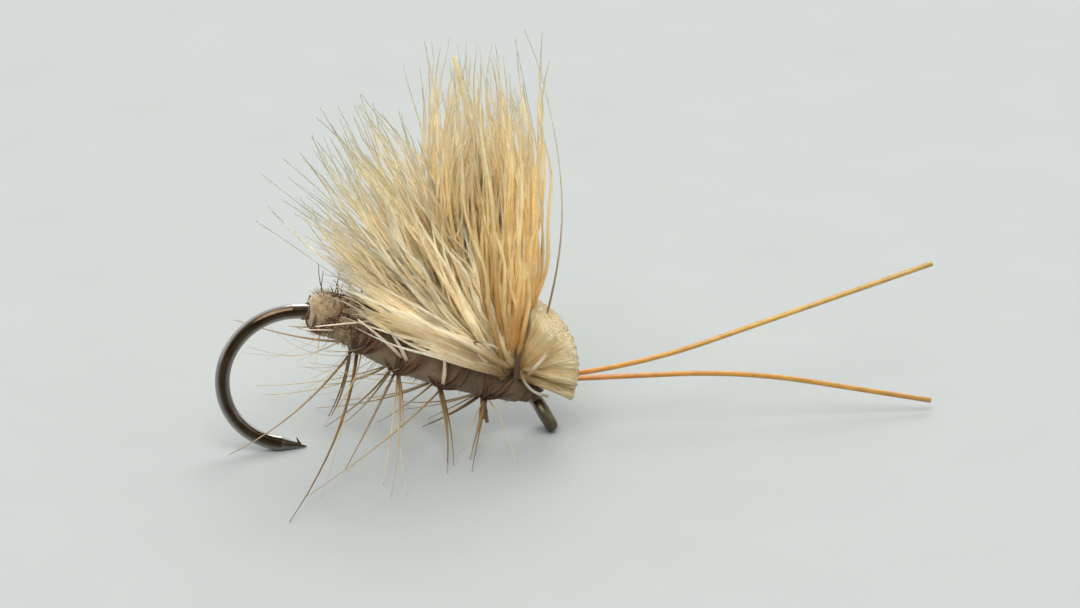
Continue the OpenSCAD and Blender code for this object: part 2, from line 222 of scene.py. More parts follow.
def wiggle(path, size, waves):
    """Adds a gentle crimp that is nothing at the root and full at the tip."""
    t = np.linspace(0, 1, len(path))
    phase = chance.uniform(0, 2 * pi, 3)
    bend = np.stack([np.sin(2 * pi * waves * t + p) - np.sin(p) for p in phase], 1)
    return path + size * t[:, None] * bend


def taper(root_r, tip_r, steps, power=1.0):
    """Radii that hold near the root and shrink towards the tip."""
    t = np.linspace(0, 1, steps) ** power
    return root_r + (tip_r - root_r) * t


# ---------------------------------------------------------------- materials


class Paint:
    """A material under construction, with short calls for the nodes that it needs."""

    def __init__(self, name, roughness, metallic=0.0, sheen=0.0, coat=0.0, subsurface=0.0,
                 gloss=0.5):
        self.material = bpy.data.materials.new(name)
        self.material.use_nodes = True
        self.tree = self.material.node_tree
        self.shader = self.tree.nodes["Principled BSDF"]
        self.shader.inputs["Roughness"].default_value = roughness
        self.shader.inputs["Metallic"].default_value = metallic
        self.shader.inputs["Sheen Weight"].default_value = sheen
        self.shader.inputs["Coat Weight"].default_value = coat
        self.shader.inputs["Subsurface Weight"].default_value = subsurface
        self.shader.subsurface_method = "BURLEY"
        self.shader.inputs["Subsurface Radius"].default_value = (1.0, 0.85, 0.65)
        self.shader.inputs["Subsurface Scale"].default_value = 0.9 * MM
        self.shader.inputs["Specular IOR Level"].default_value = gloss

    def node(self, kind, **inputs):
        made = self.tree.nodes.new(kind)
        for key, value in inputs.items():
            self.set(made, key.replace("_", " "), value)
        return made

    def set(self, node, key, value):
        socket = node.inputs[key] if not key.isdigit() else node.inputs[int(key)]
        if isinstance(value, bpy.types.NodeSocket):
            self.tree.links.new(value, socket)
        else:
            socket.default_value = value

    def attribute(self, name):
        made = self.tree.nodes.new("ShaderNodeAttribute")
        made.attribute_name = name
        return made.outputs["Fac"]

    def noise(self, size, detail=2.0):
        """Noise of about the given size in millimetres, in the fly's own space."""
        place = self.node("ShaderNodeTexCoord").outputs["Object"]
        made = self.node("ShaderNodeTexNoise", Vector=place, Scale=1 / (size * MM), Detail=detail)
        return made.outputs["Fac"]

    def ramp(self, value, stops):
        made = self.node("ShaderNodeValToRGB", Fac=value)
        elements = made.color_ramp.elements
        while len(elements) < len(stops):
            elements.new(1.0)
        for element, (place, colour) in zip(elements, stops):
            element.position = place
            element.color = (*srgb(colour), 1)
        return made.outputs["Color"]

    def math(self, operation, a, b):
        made = self.tree.nodes.new("ShaderNodeMath")
        made.operation = operation
        self.set(made, "0", a)
        self.set(made, "1", b)
        return made.outputs["Value"]

    def mix(self, factor, a, b, blend="MIX"):
        made = self.tree.nodes.new("ShaderNodeMix")
        made.data_type = "RGBA"
        made.blend_type = blend
        colour_a, colour_b = made.inputs[6], made.inputs[7]
        for socket, value in ((made.inputs["Factor"], factor), (colour_a, a), (colour_b, b)):
            if isinstance(value, bpy.types.NodeSocket):
                self.tree.links.new(value, socket)
            elif isinstance(value, tuple):
                socket.default_value = (*srgb(value), 1)
            else:
                socket.default_value = value
        return made.outputs[2]

    def along_x(self, x_from, x_to):
        """A value that rises from 0 to 1 between two places along the fly, in millimetres."""
        place = self.node("ShaderNodeTexCoord").outputs["Object"]
        x = self.node("ShaderNodeSeparateXYZ", Vector=place).outputs["X"]
        made = self.node("ShaderNodeMapRange", Value=x,
                         From_Min=float(x_from) * MM, From_Max=float(x_to) * MM)
        return made.outputs["Result"]

    def colour(self, value):
        self.set(self.shader, "Base Color", value)

    def bump(self, height, strength, distance):
        made = self.node("ShaderNodeBump", Height=height, Strength=strength, Distance=distance * MM)
        self.set(self.shader, "Normal", made.outputs["Normal"])


def srgb(colour):
    """Linear values of an 8-bit screen colour."""
    def linear(c):
        return c / 255 / 12.92 if c <= 10 else ((c / 255 + 0.055) / 1.055) ** 2.4

    return tuple(linear(c) for c in colour)


def strand_paint(name, stops, dark, roughness, **extra):
    """Hair or barb: a colour that runs along each strand, and a tone of its own for each one."""
    paint = Paint(name, roughness, **extra)
    base = paint.ramp(paint.attribute("along"), stops)
    toned = paint.mix(paint.attribute("shade"), base, dark, "MULTIPLY")
    fleck = paint.ramp(paint.noise(0.5), [(0.3, (238, 233, 224)), (0.7, (255, 255, 255))])
    paint.colour(paint.mix(1.0, toned, fleck, "MULTIPLY"))
    paint.bump(paint.noise(0.05), 0.25, 0.01)
    return paint.material


def hook_paint():
    """Bronzed wire that is dark face on and glossy at its edges, and matte and grey at the eye."""
    paint = Paint("bronzed_wire", 0.2, metallic=1.0)
    paint.shader.inputs["Coat IOR"].default_value = 3.0
    paint.shader.inputs["Coat Roughness"].default_value = 0.12
    eye = paint.along_x(-2.6, -1.9)
    bronze = paint.ramp(paint.noise(0.9), [(0.3, (58, 45, 31)), (0.7, (76, 63, 46))])
    grey = paint.ramp(paint.noise(0.2), [(0.3, (88, 80, 63)), (0.7, (116, 106, 87))])
    paint.colour(paint.mix(eye, bronze, grey))
    gloss = paint.node("ShaderNodeMapRange", Value=paint.noise(0.12),
                       To_Min=0.1, To_Max=0.22).outputs["Result"]
    matte = paint.math("MULTIPLY", eye, 0.4)
    paint.set(paint.shader, "Roughness", paint.math("ADD", gloss, matte))
    facing = paint.node("ShaderNodeLayerWeight", Blend=0.5).outputs["Facing"]
    edge = paint.node("ShaderNodeMapRange", Value=facing,
                      From_Min=0.1, From_Max=0.36).outputs["Result"]
    bare = paint.math("SUBTRACT", 1.0, eye)
    paint.set(paint.shader, "Coat Weight", paint.math("MULTIPLY", edge, bare))
    paint.bump(paint.noise(0.04), 0.15, 0.004)
    return paint.material


def yarn_paint():
    """Grey-brown yarn, with painted shade that makes it darker and browner towards the neck."""
    paint = Paint("body_yarn", 0.85, sheen=0.25)
    front = paint.along_x(shank_point(7.5)[0], shank_point(10.5)[0])
    patch = paint.noise(1.1)
    rear_tone = paint.ramp(patch, [(0.35, (126, 105, 79)), (0.65, (145, 123, 95))])
    # painted shade: this darker, browner tone is mixed in towards the neck
    neck_shade_tone = paint.ramp(patch, [(0.35, (92, 72, 51)), (0.65, (110, 88, 64))])
    fibre = paint.noise(0.06, 3.0)
    grain = paint.ramp(fibre, [(0.3, (222, 216, 208)), (0.7, (255, 255, 255))])
    tone = paint.mix(front, rear_tone, neck_shade_tone)
    paint.colour(paint.mix(1.0, tone, grain, "MULTIPLY"))
    paint.bump(fibre, 0.4, 0.02)
    return paint.material


def thread_paint():
    paint = Paint("tying_thread", 0.6, sheen=0.2)
    paint.colour(paint.ramp(paint.noise(0.15), [(0.3, (68, 45, 29)), (0.7, (106, 78, 53))]))
    paint.bump(paint.noise(0.04), 0.5, 0.01)
    return paint.material


def dubbing_paint():
    paint = Paint("fur_dubbing", 0.9, sheen=0.4)
    shade = [(0.3, (132, 110, 80)), (0.7, (176, 154, 120))]
    paint.colour(paint.ramp(paint.noise(0.25, 3.0), shade))
    paint.bump(paint.noise(0.06), 0.6, 0.03)
    return paint.material


def antenna_paint():
    """Monofilament, orange at the root and browner outwards; a rod's shade makes it redder."""
    paint = Paint("orange_monofilament", 0.3, coat=0.3, subsurface=0.5)
    paint.shader.inputs["Subsurface Scale"].default_value = 0.3 * MM
    base = paint.ramp(paint.attribute("along"), [(0.0, (206, 128, 44)), (0.25, (190, 140, 58)),
                                                 (0.65, (186, 150, 66)), (1.0, (176, 142, 76))])
    tone = paint.ramp(paint.noise(0.6), [(0.3, (225, 215, 200)), (0.7, (255, 255, 255))])
    rod = paint.mix(paint.attribute("shade"), base, (250, 233, 214), "MULTIPLY")
    paint.colour(paint.mix(1.0, rod, tone, "MULTIPLY"))
    paint.bump(paint.noise(0.08), 0.15, 0.006)
    return paint.material


def cement_paint():
    paint = Paint("head_cement", 0.2, coat=0.3, gloss=0.35)
    paint.colour(paint.ramp(paint.noise(0.2), [(0.3, (34, 20, 12)), (0.7, (52, 34, 22))]))
    return paint.material


def floor_paint():
    paint = Paint("pale_floor", 0.75)
    paint.colour(paint.ramp(paint.noise(6.0), [(0.2, (153, 157, 155)), (0.8, (156, 160, 158))]))
    return paint.material


# ---------------------------------------------------------------- body


def wound_surface(name, material, slot, node, s_from, s_to, pitch, bulge, rows, columns, roughness,
                  ends=(0.25, 0.12), over=0.0):
    """A closed body of revolution round the shank, whose surface is wound in a helix.

    It shrinks to a round end over the two lengths in ends.
    """
    stations = np.linspace(s_from, s_to, rows)
    points, faces = [], []
    rough = chance.normal(0, roughness, (rows, columns))
    rough = (rough + np.roll(rough, 1, 1) + np.roll(rough, -1, 1)) / 3
    for i, s in enumerate(stations):
        ease = max(0, min(1, (s - s_from) / ends[0], (s_to - s) / ends[1]))
        for j in range(columns):
            turn = 360 * j / columns
            wrap = abs(sin(pi * ((s - s_from) / pitch - j / columns)))
            proud = over + bulge * (wrap ** 0.6 - 1) + rough[i, j]
            radius = (body_r(s) + proud) * (0.5 + 0.5 * sin(acos(1 - ease)))
            points.append(shank_point(s) + radius * outward(s, turn))
    for i in range(rows - 1):
        row, next_row = i * columns, (i + 1) * columns
        for j in range(columns):
            k = (j + 1) % columns
            faces.append((row + j, row + k, next_row + k, next_row + j))
    faces.append(tuple(range(columns - 1, -1, -1)))
    faces.append(tuple(range((rows - 1) * columns, rows * columns)))
    return stands_for(make_object(name, points, faces, material), slot, node)


def fuzz(name, material, count, s_from, s_to, length, curl, slot, above=-0.04):
    """Loose fibres that stand off the body."""
    fibres = Strands(4)
    for _ in range(count):
        s, turn = chance.uniform(s_from, s_to), chance.uniform(-180, 180)
        root = on_body(s, turn, above)
        way = outward(s, turn) + chance.normal(0, 0.55, 3)
        way /= np.linalg.norm(way)
        tip = root + length * chance.uniform(0.5, 1.0) * way
        path = wiggle(curve(root, way + chance.normal(0, 0.4, 3), tip, 7), curl, 1.0)
        fibres.add(path, taper(0.014, 0.006, 7), chance.uniform(0, 1))
    return stands_for(fibres.finish(name, material), slot)


def thread_coil(name, material, node, place, first_r, last_r, turns, pitch,
                up_way=UP, lean=0.0, egg=0.0):
    """Turns of thread round a centre that place gives for a distance along the shank.

    With egg above 0 the turns are narrower at the bottom, where they hug the body.
    """
    per_turn = 36
    steps = int(turns * per_turn) + 1
    path, up = [], []
    for i in range(steps):
        a = 2 * pi * i / per_turn
        z = pitch * i / per_turn + lean * sin(a)
        radius = first_r + (last_r - first_r) * i / (steps - 1)
        out = cos(a) * up_way + (1 - egg * (1 - cos(a))) * sin(a) * SIDE
        path.append(place(z) + radius * out)
        up.append(out)
    coil = Strands(8)
    coil.add(path, THREAD_R, 0.5, up=np.array(up))
    return stands_for(coil.finish(name, material), "tying_thread", node)


def make_body():
    yarn, thread, dubbing = yarn_paint(), thread_paint(), dubbing_paint()
    wound_surface("wound_abdomen", yarn, "body_yarn", "abdomen_yarn",
                  ABDOMEN_S - 0.1, THORAX_S + 0.1, pitch=0.46, bulge=0.03,
                  rows=190, columns=84, roughness=0.008)
    wound_surface("wound_thorax", yarn, "body_yarn", "thorax_dubbing",
                  THORAX_S - 0.05, HEAD_S - 0.42, pitch=0.3, bulge=0.02,
                  rows=90, columns=72, roughness=0.008)
    wound_surface("dubbed_ball", dubbing, "rear_dubbing", "rear_dubbing",
                  BALL_S - 0.72, BALL_S + 1.6, pitch=0.42, bulge=0.06,
                  rows=64, columns=72, roughness=0.03, ends=(0.75, 0.5), over=0.05)
    yarn_hair = strand_paint("yarn_fibre", [(0.0, (150, 126, 98)), (1.0, (180, 156, 126))],
                             (200, 190, 180), 0.8)
    ball_hair = strand_paint("dubbing_fibre", [(0.0, (162, 138, 104)), (1.0, (200, 178, 144))],
                             (205, 190, 175), 0.8)
    fuzz("yarn_fuzz", yarn_hair, 420, ABDOMEN_S, HEAD_S - 0.8, 0.34, 0.05, "body_yarn")
    fuzz("dubbing_fuzz", ball_hair, 1100, BALL_S - 0.4, BALL_S + 1.7, 0.42, 0.08,
         "rear_dubbing", above=-0.06)

    def on_shank(z):
        return shank_point(UNDERBODY_S + z)

    underbody_r = WIRE_R + THREAD_R * 0.8
    thread_coil("underbody_thread", thread, "thread_underbody", on_shank, underbody_r, underbody_r,
                turns=12, pitch=0.105)


# ---------------------------------------------------------------- hackle

FLOOR_GAP = 0.04
BUNCHES, V_BARBS = 8, 20  # in each turn
BARB_STEPS = 9
STUB_S = 11.0


def make_stem():
    """The quill, wound in an open spiral from the rear ball to the neck."""
    path, up = [], []
    for turn in np.arange(-30, 360 * (HACKLE_TURNS - 1) + 150, 12):
        s = FIRST_TURN_S + HACKLE_PITCH * turn / 360
        path.append(on_body(s, -turn, STEM_R * 0.55))
        up.append(outward(s, -turn))
    stem = Strands(10)
    stem.add(wiggle(np.array(path), 0.012, 40), np.linspace(STEM_R, STEM_R * 0.65, len(path)), 0.4,
             up=np.array(up), flat=1.25)
    paint = strand_paint("hackle_quill", [(0.0, (120, 84, 54)), (1.0, (104, 70, 44))],
                         (190, 170, 150), 0.5)
    return stands_for(stem.finish("hackle_quill", paint), "hackle_quill", "hackle_stem")


def barb_path(root, way, length, sweep):
    """A barb that sets out along way and bends by sweep, shortened until it clears the floor."""
    t = np.linspace(0, 1, 12)[:, None]
    for _ in range(40):
        path = root + length * (t * way + t ** 2 * sweep)
        if path[:, 2].min() > FLOOR_GAP:
            break
        length *= 0.96
    return path


def add_long_barb(barbs, number, angle, lean, thick, tone):
    """One barb of a turn; angle is how far it stands out from straight down, to either side."""
    turn_s = FIRST_TURN_S + number * HACKLE_PITCH
    low = 0.4 * angle - 6
    root = on_body(turn_s - HACKLE_PITCH * low / 360, low, 0.02)
    way = outward(turn_s, angle) + np.array([lean + chance.normal(0, 0.06), 0, 0])
    way /= np.linalg.norm(way)
    is_long = chance.uniform() < 0.7
    length = chance.uniform(6.5, 9.8) if is_long else chance.uniform(1.6, 4.5)
    length *= 0.5 if number == 0 else 1
    sweep = np.array([chance.normal(-0.14, 0.1), 0.1 * np.sign(angle), chance.normal(0.06, 0.06)])
    path = barb_path(root, way, length, sweep)
    radii = taper(thick, 0.018, len(path), 1.2)
    barbs.add(path, radii, tone + chance.uniform(0, 0.15), flat=0.65)


def make_hackle():
    """Five turns of long barbs that lean down and out to both sides, singly and in pairs.

    The first turn has fewer and shorter barbs, and none near straight down.
    """
    paint = strand_paint("hackle_barb", [(0.0, (112, 84, 52)), (0.12, (186, 160, 108)),
                                         (0.5, (216, 198, 154)), (1.0, (204, 194, 166))],
                         (140, 118, 72), 0.45, gloss=0.4)
    for number in range(HACKLE_TURNS):
        barbs = Strands(5)
        for bunch in range(4 if number == 0 else BUNCHES):
            side = 1 if bunch % 2 else -1
            middle = side * (chance.uniform(38, 80) if bunch % 5 else chance.uniform(5, 38))
            lean = chance.normal(0.0, 0.3)
            tone = chance.uniform(0, 1) ** 1.5
            thick = between((0.042, 0.1), tone)
            for _ in range(chance.integers(1, 3)):
                angle = middle + chance.normal(0, 4)
                if number > 0 or abs(angle) >= 60:
                    add_long_barb(barbs, number, angle, lean, thick, tone)
        stands_for(barbs.finish(f"hackle_barbs_{number + 1}", paint), "hackle_barbs",
                   f"hackle_turn_{number + 1}")
    make_loose_barbs(paint)
    make_pale_barbs()
    make_trimmed_barbs()


def make_loose_barbs(paint):
    """Webby fibres that trail back under the body."""
    loose = Strands(5)
    for _ in range(18):
        s, turn = chance.uniform(1.8, 6.5), chance.uniform(-70, 70)
        root = on_body(s, turn, 0.02)
        way = np.array([-1, chance.normal(0, 0.35), chance.normal(-0.25, 0.3)])
        tip = root + chance.uniform(2.5, 5.5) * way / np.linalg.norm(way)
        tip[2] = max(tip[2], 0.3)
        path = wiggle(curve(root, way + np.array([0.2, 0, -0.5]), tip, 12, 0.5), 0.12, 0.8)
        loose.add(path, taper(0.018, 0.01, 12), chance.uniform(0, 0.3))
    stands_for(loose.finish("loose_barbs", paint), "hackle_barbs")


def make_pale_barbs():
    """Pale barbs that have turned up across the body and the ball, on the near side."""
    paint = strand_paint("pale_barb", [(0.0, (214, 186, 156)), (0.3, (242, 222, 196)),
                                       (1.0, (246, 234, 212))], (236, 218, 196), 0.5)
    barbs = Strands(6)
    steps = 14
    lift = np.array([0, -0.4, 0])
    # station and turn of the root, length, lean back from the vertical, and radius
    for s, turn, length, back, thick in [
        (5.8, -78, 3.7, 41, 0.1), (6.1, -76, 2.3, 26, 0.11), (8.5, -52, 1.8, 2, 0.12),
        (4.4, -136, 3.9, 82, 0.075), (2.2, -60, 1.8, 76, 0.05),
    ]:
        root = on_body(s, turn, 0.05)
        tip = root + length * (from_vertical(back, 0) + lift)
        barbs.add(curve(root, from_vertical(back - 6, 0) + 1.6 * lift, tip, steps, 0.5),
                  taper(thick, 0.4 * thick, steps, 2.0), 0.0, flat=0.7)
    stands_for(barbs.finish("pale_barbs", paint), "hackle_barbs")


def add_v_barbs(barbs):
    """Broad dark barbs that lie on the body and spread upwards in a V at each rib."""
    for number in range(HACKLE_TURNS):
        turn_s = FIRST_TURN_S + number * HACKLE_PITCH
        for i in range(V_BARBS):
            side = -1 if i % 2 else 1
            start = side * chance.uniform(12, 28)
            s = turn_s - HACKLE_PITCH * start / 360
            drift, climb = chance.uniform(-1.2, 1.0), chance.uniform(35, 100)
            path = []
            for t in np.linspace(0, 1, BARB_STEPS):
                station = min(HEAD_S - 0.9, max(1.0, s + drift * t))
                path.append(on_body(station, start + side * climb * t, 0.03 + 0.06 * t))
            barbs.add(path, taper(0.14, 0.05, BARB_STEPS), chance.uniform(0, 1), flat=0.5)


def add_stubs(barbs):
    """Thick barb stubs, cut square, under the last turn."""
    for drop, turn, aside in [(1.5, -14, -0.12), (1.2, -20, 0.0), (1.4, -24, 0.1), (0.9, -10, 0.2)]:
        root = on_body(STUB_S, turn, -0.03)
        path = curve(root, (0, 0, -1.0), root + drop * np.array([aside, -0.1, -1.0]), 5)
        barbs.add(path, taper(0.13, 0.1, 5), 0.0, flat=0.6, cut_end=True)


def add_cut_barbs(barbs):
    """Barbs cut short that stand up from the back of the ball and the body."""
    for _ in range(24):
        s, turn = chance.uniform(1.2, 4.6), 180 + chance.uniform(-70, 70)
        root = on_body(s, turn, -0.03)
        way = outward(s, turn) + np.array([chance.normal(0, 0.35), 0, 0.3])
        tip = root + chance.uniform(0.4, 1.6) * way / np.linalg.norm(way)
        barbs.add(curve(root, way + chance.normal(0, 0.3, 3), tip, 5), taper(0.03, 0.018, 5),
                  chance.uniform(0, 0.6), cut_end=True)


def add_ball_barbs(barbs):
    """Barbs that lie across the back and sides of the ball."""
    for _ in range(22):
        s, turn = chance.uniform(1.5, 2.8), 180 + chance.uniform(-105, 105)
        end_s, end_turn = s + chance.uniform(0.6, 1.3), turn + chance.normal(0, 9)
        path = [on_body(between((s, end_s), t), between((turn, end_turn), t),
                        0.05 + 0.12 * sin(pi * t)) for t in np.linspace(0, 1, BARB_STEPS)]
        barbs.add(path, taper(0.06, 0.025, BARB_STEPS), chance.uniform(0, 1), flat=0.6)


def make_trimmed_barbs():
    """The dark barbs that hug the body, and those that were cut short."""
    paint = strand_paint("trimmed_barb", [(0.0, (74, 46, 28)), (0.6, (94, 62, 40)),
                                          (1.0, (138, 104, 74))],
                         (196, 172, 150), 0.55, subsurface=0.2)
    barbs = Strands(5)
    add_v_barbs(barbs)
    add_stubs(barbs)
    add_cut_barbs(barbs)
    add_ball_barbs(barbs)
    stands_for(barbs.finish("trimmed_barbs", paint), "hackle_barbs")


# ---------------------------------------------------------------- wing and head

TIE = shank_point(HEAD_S - 0.75) + np.array([0.0, 0, 1.4])  # where the hairs are tied in
GOLDEN = 0.618  # spreads the locks evenly across a clump
HAIR_LOOK = {"subsurface": 0.9, "gloss": 0.2}


def from_vertical(back, side):
    """A unit vector, leaning back from the vertical and out to the side, in degrees."""
    b, o = radians(back), radians(side)
    return np.array([-sin(b) * cos(o), sin(o), cos(b) * cos(o)])


class Clump:
    """Hairs tied in together, gathered in locks that bend and crimp as one.

    ways and tips are how far back from the vertical the hairs set out and end, and lengths
    their lengths, each from the clump's front to its rear. sides are the sideways angles at
    which its outermost hairs set out and end. crimp and bow are about how far a lock waves and
    bends off its curve, and thick is about a hair's radius at the root.
    """

    def __init__(self, ways, tips, lengths, sides, stiff, crimp, bow, thick, locks):
        self.ways, self.tips, self.lengths, self.sides = ways, tips, lengths, sides
        self.stiff, self.crimp, self.thick = stiff, crimp, thick
        self.locks = [self.lock((i + 0.5) / locks, 2 * (i * GOLDEN % 1) - 1, bow)
                      for i in range(locks)]

    def lock(self, place, across, bow):
        """Where a lock is in the clump, then its wave's phases and count, its length and bow."""
        return (min(1, max(0, place + chance.normal(0, 0.02))),
                across + chance.normal(0, 0.04), chance.uniform(0, 2 * pi, 3),
                chance.uniform(1.5, 2.7), chance.uniform(0.86, 1.06), chance.normal(0, bow, 3))

    def grow(self, hairs, count):
        steps = 18
        t = np.linspace(0, 1, steps)[:, None]
        for _ in range(count):
            lock = self.locks[chance.integers(len(self.locks))]
            place, across, phases, waves, longer, bow = lock
            place, across = place + chance.normal(0, 0.025), across + chance.normal(0, 0.07)
            root = TIE + np.array([-0.42 - 0.4 * place, 0.8 * across,
                                   0.45 - 0.45 * place - 0.35 * abs(across)])
            root += chance.normal(0, 0.09, 3)
            shorter = 1 - 0.56 * chance.uniform(0, 1) ** 1.1
            length = between(self.lengths, place) * longer * shorter
            loose_back, loose_side = chance.normal(0, 2.3, 2)
            tip = root + length * from_vertical(between(self.tips, place) + loose_back,
                                                self.sides[1] * across + loose_side)
            set_out = between(self.ways, place)
            if set_out < 0:  # the outer hairs lean forward less
                set_out *= 1 - 0.5 * abs(across)
            way = from_vertical(set_out, self.sides[0] * across)
            path = curve(root, way, tip, steps, self.stiff * chance.uniform(0.76, 1.24))
            wave = np.stack([np.sin(2 * pi * waves * t[:, 0] + phase + chance.normal(0, 0.5))
                             for phase in phases], 1)
            path = path + self.crimp * t * (wave - wave[0])
            path = path + np.sin(pi * t) * (bow + chance.normal(0, 0.5 * self.crimp, 3))
            thick = self.thick * chance.uniform(0.72, 1.2)
            hairs.add(path, taper(thick, 0.014, steps, 2.8), chance.uniform(0, 1) ** 2)


def make_front_clump():
    """The upright clump: its hairs, and thicker and shorter ones that fill it."""
    warm = strand_paint("wing_hair_warm", [(0.0, (144, 108, 62)), (0.25, (182, 142, 84)),
                                           (0.6, (222, 202, 152)), (1.0, (206, 198, 172))],
                        (244, 232, 210), 0.55, **HAIR_LOOK)
    front = Strands(5)
    Clump(ways=(-29, 38), tips=(-3, 10.5), lengths=(16.8, 17.4), sides=(16, 9),
          stiff=0.41, crimp=0.21, bow=0.34, thick=0.105, locks=60).grow(front, 430)
    Clump(ways=(-22, 36), tips=(-2.5, 11.5), lengths=(14.0, 14.4), sides=(9, 5),
          stiff=0.41, crimp=0.1, bow=0.2, thick=0.17, locks=40).grow(front, 160)
    stands_for(front.finish("wing_front", warm), "wing_hair", "wing_hair_front")


def make_rear_clump():
    """The clump that slopes back, made in the same way."""
    straw = strand_paint("wing_hair_straw", [(0.0, (160, 130, 88)), (0.3, (220, 207, 174)),
                                             (0.7, (236, 228, 204)), (1.0, (190, 180, 146))],
                         (246, 236, 216), 0.55, **HAIR_LOOK)
    rear = Strands(5)
    Clump(ways=(16, 47), tips=(23, 37), lengths=(15.6, 17.4), sides=(16, 9),
          stiff=0.38, crimp=0.21, bow=0.34, thick=0.1, locks=44).grow(rear, 260)
    Clump(ways=(12, 42), tips=(19, 35), lengths=(12.2, 13.0), sides=(9, 5),
          stiff=0.38, crimp=0.1, bow=0.2, thick=0.16, locks=30).grow(rear, 120)
    stands_for(rear.finish("wing_rear", straw), "wing_hair", "wing_hair_rear")


def make_low_clump(pale):
    """The clump along the back, filled as the others are, and three loose tufts above it."""
    low = Strands(5)
    Clump(ways=(49, 65), tips=(52, 61.5), lengths=(12.6, 9.4), sides=(25, 14),
          stiff=0.5, crimp=0.13, bow=0.17, thick=0.11, locks=56).grow(low, 420)
    Clump(ways=(51, 63), tips=(54, 60), lengths=(10.4, 8.6), sides=(18, 10),
          stiff=0.5, crimp=0.07, bow=0.12, thick=0.17, locks=30).grow(low, 90)
    Clump(ways=(57, 60), tips=(45, 49), lengths=(14.9, 15.6), sides=(5, 3),
          stiff=0.64, crimp=0.08, bow=0.1, thick=0.095, locks=5).grow(low, 30)
    Clump(ways=(47, 49), tips=(46, 48.5), lengths=(16.6, 17.2), sides=(4, 3),
          stiff=0.4, crimp=0.1, bow=0.1, thick=0.075, locks=4).grow(low, 18)
    Clump(ways=(42, 50), tips=(40, 50), lengths=(14.0, 14.6), sides=(14, 12),
          stiff=0.4, crimp=0.1, bow=0.15, thick=0.06, locks=14).grow(low, 44)
    stands_for(low.finish("wing_low", pale), "pale_hair", "wing_hair_low")


def make_strays(material):
    """Single hairs that have sprung out of the wing, each given one by one."""
    strays = Strands(6)
    steps = 20
    # start, first direction, end, each from the tie-in; then how stiff the hair is, and its radius
    for start, way, end, stiff, thick in [
        ((1.2, -0.3, 1.4), (0.3, 0.0, 1.0), (0.4, 0.4, 17.4), 0.55, 0.06),
        ((0.9, 0.5, 1.6), (0.2, 0.1, 1.0), (0.0, 1.0, 16.6), 0.5, 0.05),
        ((-0.9, -0.8, 0.1), (-1.0, -0.2, 0.62), (-13.2, -1.6, 9.2), 0.5, 0.05),
        ((-0.6, 0.4, 0.4), (-1.0, 0.2, 0.75), (-12.6, 1.8, 10.4), 0.4, 0.05),
    ]:
        path = curve(TIE + np.array(start), way, TIE + np.array(end), steps, stiff)
        strays.add(wiggle(path, 0.1, 1.3), taper(thick, 0.015, steps), 0.2)
    # pale hairs that curl at the neck: one across the butts, one under them, two on the low clump
    for start, way, end, thick in [
        ((0.3, -1.5, -0.2), (0.55, -0.3, 0.8), (1.15, -2.15, 1.15), 0.11),
        ((-0.02, -1.35, 0.12), (0.1, -0.25, -1.0), (1.45, -0.85, -1.66), 0.085),
        ((-2.5, -2.2, 2.15), (0.0, -0.3, -1.0), (-1.85, -1.9, 0.9), 0.07),
        ((-2.5, -2.2, 2.15), (1.0, -0.2, -0.1), (-1.25, -1.9, 1.55), 0.06),
    ]:
        path = curve(TIE + np.array(start), way, TIE + np.array(end), 12, 0.5)
        strays.add(path, taper(thick, 0.8 * thick, 12), 0.1, cut_end=True)
    # the thick stub that is cut square at the top of the front clump
    stub_root, stub_end = TIE + np.array([-0.4, -0.2, 0.3]), TIE + np.array([-3.2, -0.6, 16.7])
    stub = curve(stub_root, (-0.1, 0, 1), stub_end, steps, 0.5)
    strays.add(stub, taper(0.13, 0.12, steps), 0.9, cut_end=True)
    stands_for(strays.finish("stray_hair", material), "pale_hair", "stray_hairs")


def make_wing():
    make_front_clump()
    make_rear_clump()
    pale = strand_paint("wing_hair_pale", [(0.0, (116, 90, 62)), (0.2, (164, 142, 108)),
                                           (0.5, (214, 204, 180)), (0.7, (224, 215, 192)),
                                           (1.0, (206, 198, 168))],
                        (244, 234, 216), 0.55, **HAIR_LOOK)
    make_low_clump(pale)
    make_strays(pale)


def hair_butts(name, material, node, count, root, half_width, rise_range, side_max, reach, thick):
    """Trimmed ends of the wing's hair, flared to a rounded brush; its top is lower at the sides."""
    butts = Strands(7)
    steps = 7
    for _ in range(count):
        across = chance.uniform(-1, 1)
        rise = radians(chance.uniform(rise_range[0], rise_range[1] - 26 * across ** 2))
        side = radians(side_max) * across
        way = np.array([cos(rise) * cos(side), sin(side), sin(rise) * cos(side)])
        base = root + half_width * across * SIDE
        start = base + 0.1 * way + chance.normal(0, 0.07, 3)
        end = base + reach * chance.uniform(0.95, 1.0) * way
        end += chance.normal(0, 0.035, 3)
        path = curve(start, way + chance.normal(0, 0.15, 3), end, steps)
        radius = thick * chance.uniform(0.8, 1.15)
        butts.add(path, np.linspace(0.75, 1.0, steps) * radius, chance.uniform(0, 1), cut_end=True)
    return stands_for(butts.finish(name, material), "hair_butts", node)


